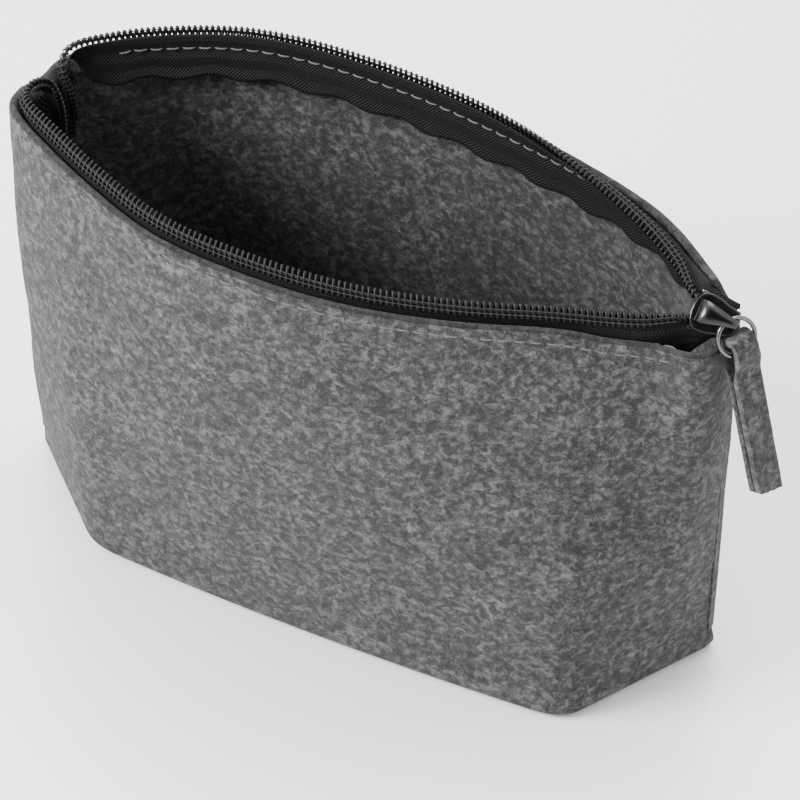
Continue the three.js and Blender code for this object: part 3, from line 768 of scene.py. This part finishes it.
def coil_core(side, name):
    line = chains[side]
    points, normals = [], []
    for share in np.linspace(0.002, 0.998, 160):
        s = stance(line, share, side)
        points.append(s["point"])
        normals.append(s["a"])
    vertices, faces = tube(points, normals, [CORE_RADIUS] * len(points), sides=8)
    obj = piece(name, vertices, faces, filler_cord)
    return stands_for(obj, "filler_cord", name.replace("cord_in_", "") + "_core")


def coil_stitches(side, name):
    """Two rows of thread that tie the turns to the tape, dipping between each pair of turns."""
    line = chains[side]
    turns = int(line.length / PITCH)
    parts = []
    for across in (-0.3, 0.9):
        points, normals = [], []
        for i in range(4 * turns - 24):
            share = (i + 2) / (4 * turns)
            if line.at(share)[0] > 82:
                break
            slant = 0.25 * across * PITCH / line.length
            s = stance(line, share + slant, side)
            crest = 0.5 + 0.5 * math.cos(2 * math.pi * (i / 4 - 0.25))
            lift = COIL_HALF_HEIGHT - 0.32 + 0.42 * crest
            points.append(s["point"] + s["a"] * across + s["m"] * lift)
            normals.append(s["m"])
        radii = [0.15 + 0.03 * (k % 4 == 1) for k in range(len(points))]
        parts.append(tube(points, normals, radii, sides=5))
    vertices, faces = gathered(parts)
    obj = piece(name, vertices, faces, black_thread)
    return stands_for(obj, "black_thread", name.replace("sewn_", "") + "_stitching")


def stitch(start, end, out, sink, radius):
    """One stitch from start to end, its ends sinking in where the needle went through."""
    shares = np.array([0.0, 0.1, 0.3, 0.5, 0.7, 0.9, 1.0])
    depths = sink * np.array([1.0, 0.45, 0.08, 0.0, 0.08, 0.45, 1.0])
    points = [mix(start, end, t) - out * d for t, d in zip(shares, depths)]
    radii = [radius * k for k in (0.7, 0.95, 1, 1, 1, 0.95, 0.7)]
    return tube(points, [out] * len(points), radii, sides=6)


def topstitching(side, outside, name):
    """A row of stitches that holds a tape to the felt, on the felt outside or the tape inside."""
    line = mouths[side]
    low, high = (0.09 if side == FRONT else 0.1), 0.92
    drop = STITCH_DROP if outside else 0.5 * STITCH_DROP
    count = int(line.length * (high - low) / STITCH_PITCH)
    parts = []
    for i in range(count):
        ends = []
        for place in (i, i + STITCH_LENGTH / STITCH_PITCH):
            t = mix(low, high, place / count)
            v = 1 - drop / (line.at(t)[2] - FOLD_RADIUS)
            before, after = wall_point(side, t - 0.01, v), wall_point(side, t + 0.01, v)
            out = -side * unit([after[1] - before[1], before[0] - after[0], 0])
            lift = FELT + 0.12 if outside else -(TAPE_STANDOFF + TAPE_HALF + 0.45)
            ends.append((wall_point(side, t, v) + out * lift, out if outside else -out))
        (start, out), (end, _) = ends
        parts.append(stitch(start, end, out, 0.5, 0.26))
    vertices, faces = gathered(parts)
    obj = piece(name, vertices, faces, grey_thread)
    thread = "needle" if outside else "bobbin"
    return stands_for(obj, "grey_thread", f"{'front' if side == FRONT else 'back'}_topstitch_{thread}_thread")


def seam_stitching(end, face, name):
    points = seam_line(end, SEAM_FIN_DEPTH * 0.6, SEAM_FIN_LOW + 6, SEAM_FIN_HIGH - 4, 120)
    run = Line(points)
    count = int(run.length / STITCH_PITCH)
    out = np.array([0, face, 0])
    parts = []
    for i in range(count):
        start = run.at(i / count) + out * (FELT + 0.16)
        finish = run.at((i + STITCH_LENGTH / STITCH_PITCH) / count) + out * (FELT + 0.16)
        parts.append(stitch(start, finish, out, 0.5, 0.24))
    vertices, faces = gathered(parts)
    obj = piece(name, vertices, faces, grey_thread)
    thread = "needle" if face > 0 else "bobbin"
    return stands_for(obj, "grey_thread", f"{'left' if end == 0 else 'right'}_seam_{thread}_thread")


# ---------------------------------------------------------------- slider, ring and tab


def bezier(p0, p1, p2, p3, steps=8):
    shares = np.arange(steps)[:, None] / steps
    p0, p1, p2, p3 = (np.array(p, float) for p in (p0, p1, p2, p3))
    curve = (1 - shares) ** 3 * p0 + 3 * (1 - shares) ** 2 * shares * p1
    return list(curve + 3 * (1 - shares) * shares**2 * p2 + shares**3 * p3)


def wing_outline(grow=0.0):
    """Half of a wing's outline, from its round wide end to its narrow end, and its mirror."""
    wide, narrow, left, right = 5.1 + grow, 3.6 + grow, -6.0, 6.4
    half = bezier((left, 0), (left, 3.2), (-5, wide), (-2.6, wide))
    half += bezier((-2.6, wide), (0, wide), (1, 4.3 + grow), (3, 3.95 + grow))
    half += bezier((3, 3.95 + grow), (5, narrow), (right, narrow - 0.2), (right, 1.6))
    half.append(np.array([right, 1.6]))
    return half + [np.array([s, -l]) for s, l in half[::-1] if l > 0]


def slider_slab(outline, low, high, dome=0.0):
    """A solid from an outline in the slider's own frame; dome lifts its middle."""
    middle = np.mean(outline, axis=0)
    rows = []
    for level, shares in ((low, (0.0, 0.5, 0.85, 1.0)), (high, (1.0, 0.85, 0.5, 0.0))):
        for share in shares:
            lift = dome * (1 - share**2) * (1 if level == high else 0.4)
            drawn = [mix(middle, np.array(p), max(share, 0.02)) for p in outline]
            rows.append([in_slider(*p, level + lift) for p in drawn])
    return skinned(rows)


def add_bevel(obj, width):
    bevel = obj.modifiers.new("edges", "BEVEL")
    bevel.width = width * MM
    bevel.segments = 3
    bevel.limit_method = "ANGLE"
    bevel.angle_limit = math.radians(40)


def slider_wings():
    upper = slider_slab(wing_outline(), 1.25, 2.35, dome=0.35)
    lower = slider_slab(wing_outline(-0.2), -3.2, -2.1)
    wedge = [(-4.6, 1.1), (-3.4, 0.9), (-2, 0), (-3.4, -0.9), (-4.6, -1.1), (-5.6, 0)]
    parts = [upper, lower, slider_slab(wedge, -2.4, 1.55)]
    for side in (FRONT, BACK):
        inner = [(-5.3, 4.5), (-3, 4.35), (-1, 3.7), (2.5, 3.15), (5.9, 2.9)]
        outer = [(s, l + 0.65) for s, l in inner[::-1]]
        lip = [(s, side * l) for s, l in inner + outer]
        parts.append(slider_slab(lip[::side], -0.6, 1.6))
        parts.append(slider_slab(lip[::side], -2.4, -1.75))
    return parts


def slider_body():
    for i, (vertices, faces) in enumerate(slider_wings()):
        obj = piece(f"slider_cast_{i}", vertices, faces, gun_metal, body="slider")
        add_bevel(obj, 0.28 if i < 2 else 0.12)
    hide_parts("slider_body")


def slider_bridge():
    """The arched hood over the upper wing that the ring hangs from, broad at its far end."""
    foot, thick = BRIDGE_FOOT, BRIDGE_THICK
    top = HOLE[2] + WIRE_RADIUS + RING_PLAY + thick
    outer = bezier((-4.6, foot), (-4.2, top - 1), (-3, top), (-0.8, top), 10)
    outer += bezier((-0.8, top), (0.8, top + 0.12), (2.4, top + 0.12), (4, top), 6)
    outer += bezier((4, top), (6.0, top - 0.1), (6.7, foot + 2.2), (6.4, foot), 10)
    inner = bezier((5.4, foot), (5.9, foot + 1.8), (5.2, top - thick), (4, top - thick), 10)
    inner += bezier((4, top - thick), (2.4, top - thick), (0.8, top - thick), (-0.8, top - thick), 6)
    inner += bezier((-0.8, top - thick), (-1.8, top - thick), (-2.5, foot + 1), (-2.7, foot), 10)
    profile = outer + [np.array([6.4, foot])] + inner + [np.array([-2.7, foot])]
    rows = []
    for l in (-1.5, -1.4, -1.15, -0.8, -0.4, 0, 0.4, 0.8, 1.15, 1.4, 1.5):
        crown = 1 - 0.24 * (abs(l) / 1.5) ** 2.5
        widths = [l * mix(1.95, 0.85, smooth(s, -3.5, 5)) for s, _ in profile]
        rows.append([in_slider(s, w, foot + (u - foot) * crown) for (s, u), w in zip(profile, widths)])
    vertices, faces = skinned(rows, turn=True)
    obj = piece("slider_crown", vertices, faces, gun_metal, body="slider")
    add_bevel(obj, 0.26)
    return stands_for(obj, "gun_metal", "slider_bridge")


ring_fall = unit(slider_way(RING_FALL))
ring_through = slider_way(RING_THROUGH)
ring_through = unit(ring_through - ring_fall * np.dot(ring_through, ring_fall))
ring_centre = in_slider(*HOLE) + ring_fall * RING_RADIUS


def pull_ring():
    points, ways = [], []
    for angle in np.linspace(0, 2 * math.pi, 97)[:-1]:
        way = ring_through * math.cos(angle) + ring_fall * math.sin(angle)
        points.append(ring_centre + way * RING_RADIUS)
        ways.append(way)
    vertices, sides = [], 18
    other = np.cross(ring_through, ring_fall)
    for point, way in zip(points, ways):
        for k in range(sides):
            turn = 2 * math.pi * k / sides
            vertices.append(point + WIRE_RADIUS * (way * math.cos(turn) + other * math.sin(turn)))
    faces = grid_faces(len(points), sides, closed=True, turn=True)
    last = (len(points) - 1) * sides
    for k in range(sides):
        n = (k + 1) % sides
        faces.append([last + k, k, n, last + n])
    obj = piece("wire_ring", vertices, faces, polished_wire, body="ring")
    return stands_for(obj, "polished_wire", "pull_ring")


def tab_profile():
    """For each step down the tab, half the thickness of its hollow and of the whole."""
    rows = []
    for share in np.linspace(0, 1, 90):
        down = TAB_LENGTH * share**1.5
        hollow = mix(TAB_POCKET_HALF, TAB_GAP_HALF, smooth(down, 6, 12))
        curve = math.sqrt(max(1 - (1 - min(down / (hollow + TAB_FELT), 1)) ** 2, 0))
        rows.append((down, hollow, (hollow + TAB_FELT) * max(curve, 0.05)))
    return rows


def pull_tab():
    fall = unit(TAB_FALL)
    top = ring_centre + ring_fall * TAB_LOOP_AT - fall * TAB_RISE - TAB_SLIP
    level = unit(TAB_ACROSS - fall * np.dot(TAB_ACROSS, fall))

    def place(down, thick, edge):
        across = turned(level, fall, -TAB_TWIST * down / TAB_LENGTH)
        half = mix(TAB_HALF_WIDTH_AT_RING, TAB_HALF_WIDTH, smooth(down, 4, 10))
        half -= 0.45 * max(abs(edge) - 0.86, 0) / 0.14
        slant = 1.6 * edge * smooth(down, 36, 48)
        at = top + fall * (down + slant) + across * edge * half + np.cross(across, fall) * thick
        ragged = 0.35 * smooth(down, 46.5, 48) * lumps(at, 1.1, 6.0)
        fuzz = 0.09 * lumps(at, 1.6, 1.0) + 0.12 * lumps(at, 5.0, 4.0)
        return at + np.cross(across, fall) * fuzz + fall * ragged

    edges = np.concatenate([[-1, -0.985, -0.94, -0.86], np.linspace(-0.7, 0.7, 9), [0.86, 0.94, 0.985, 1]])
    profile = tab_profile()
    rings = []
    for edge in edges:
        skin = 1 - 0.22 * (max(abs(edge) - 0.86, 0) / 0.14) ** 2
        front = [place(down, whole * skin, edge) for down, _, whole in profile]
        rear = [place(down, -whole * skin, edge) for down, _, whole in profile]
        depths = [mix(TAB_FELT, TAB_LENGTH, down / TAB_LENGTH) for down, _, _ in profile]
        hollows = [profile[0][1] * 0.5] + [hollow for _, hollow, _ in profile[1:]]
        lining = list(zip(depths, hollows))
        left = [place(down, -hollow, edge) for down, hollow in lining]
        right = [place(down, hollow, edge) for down, hollow in lining]
        rings.append(front[::-1] + rear + left[::-1] + right)
    count = len(rings[0])
    half = count // 2
    faces = grid_faces(len(rings), count, closed=True)
    last = (len(rings) - 1) * count
    for j in range(half - 1):
        quad = [j, j + 1, count - 2 - j, count - 1 - j]
        faces.append(quad[::-1])
        faces.append([last + k for k in quad])
    obj = piece("felt_tab", [p for ring in rings for p in ring], faces, tab_felt, body="tab")
    return stands_for(obj, "grey_felt", "pull_tab")


# ---------------------------------------------------------------- all the pieces

soft = [felt_shell(), seam_allowances(0, "left_seam_allowances"), seam_allowances(1, "right_seam_allowances")]
for side, where in ((FRONT, "front"), (BACK, "back")):
    soft.append(zip_tape(side, f"woven_{where}"))
    soft.append(wound_coil(side, f"wound_{where}_coil"))
    soft.append(coil_core(side, f"cord_in_{where}_coil"))
    soft.append(coil_stitches(side, f"sewn_{where}_coil"))
    soft.append(topstitching(side, True, f"{where}_stitches_outside"))
    soft.append(topstitching(side, False, f"{where}_stitches_inside"))
for end, where in ((0, "left"), (1, "right")):
    soft.append(seam_stitching(end, 1, f"{where}_seam_stitches_back"))
    soft.append(seam_stitching(end, -1, f"{where}_seam_stitches_front"))
soft.append(tape_ends())
slider_body()
slider_bridge()
pull_ring()
pull_tab()

# Each soft piece gets a mesh of its own.
for obj in soft:
    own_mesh(obj)


# ---------------------------------------------------------------- floor, light and camera


def floor():
    bpy.ops.mesh.primitive_plane_add(size=6, location=(0, 0, 0))
    plane = bpy.context.object
    plane.name = "floor"
    nodes = Nodes("pale_floor")
    nodes.set(Base_Color=(0.93, 0.93, 0.93, 1), Roughness=0.22)
    plane.data.materials.append(nodes.material)


def soft_light(name, place, target, size, power):
    light = bpy.data.lights.new(name, "AREA")
    light.shape = "RECTANGLE"
    light.size, light.size_y = size
    light.energy = power
    obj = bpy.data.objects.new(name, light)
    obj.location = place
    obj.rotation_euler = (Vector(target) - Vector(place)).to_track_quat("-Z", "Y").to_euler()
    bpy.context.collection.objects.link(obj)


def camera():
    azimuth, elevation, roll = math.radians(22.389), math.radians(50.309), math.radians(0.317)
    flat = math.cos(elevation)
    back = Vector((math.sin(azimuth) * flat, -math.cos(azimuth) * flat, math.sin(elevation)))
    level = Vector((math.cos(azimuth), math.sin(azimuth), 0))
    upright = back.cross(level)
    right = math.cos(roll) * level + math.sin(roll) * upright
    above = back.cross(right)
    data = bpy.data.cameras.new("camera")
    data.sensor_width = 36
    data.lens = 247.95
    data.clip_start, data.clip_end = 0.1, 20
    obj = bpy.data.objects.new("camera", data)
    place = Vector((-0.023836, 0.074743, -0.031133)) + back * 1.57891
    obj.matrix_world = Matrix((right, above, back)).transposed().to_4x4()
    obj.location = place
    bpy.context.collection.objects.link(obj)
    bpy.context.scene.camera = obj


def sky():
    """A white room with a dark patch on the side that the slider's top faces."""
    world = bpy.data.worlds.new("studio")
    world.use_nodes = True
    tree = world.node_tree
    place = tree.nodes.new("ShaderNodeTexCoord")
    toward = tree.nodes.new("ShaderNodeVectorMath")
    toward.operation = "DOT_PRODUCT"
    toward.inputs[1].default_value = tuple(SLIDER_UP)
    shade = tree.nodes.new("ShaderNodeMapRange")
    for key, value in (("From Min", 0.72), ("From Max", 0.95), ("To Min", 2.3), ("To Max", 0.15)):
        shade.inputs[key].default_value = value
    tree.links.new(place.outputs["Generated"], toward.inputs[0])
    tree.links.new(toward.outputs["Value"], shade.inputs["Value"])
    tree.links.new(shade.outputs[0], tree.nodes["Background"].inputs["Strength"])
    tree.nodes["Background"].inputs["Color"].default_value = (1, 1, 1, 1)
    bpy.context.scene.world = world


floor()
soft_light("key", (-0.85, -0.5, 0.8), (0, 0, 0.08), (0.5, 0.5), 31)
soft_light("top", (-0.1, 0.45, 1.1), (0, 0, 0.05), (0.9, 0.6), 14)
camera()
sky()
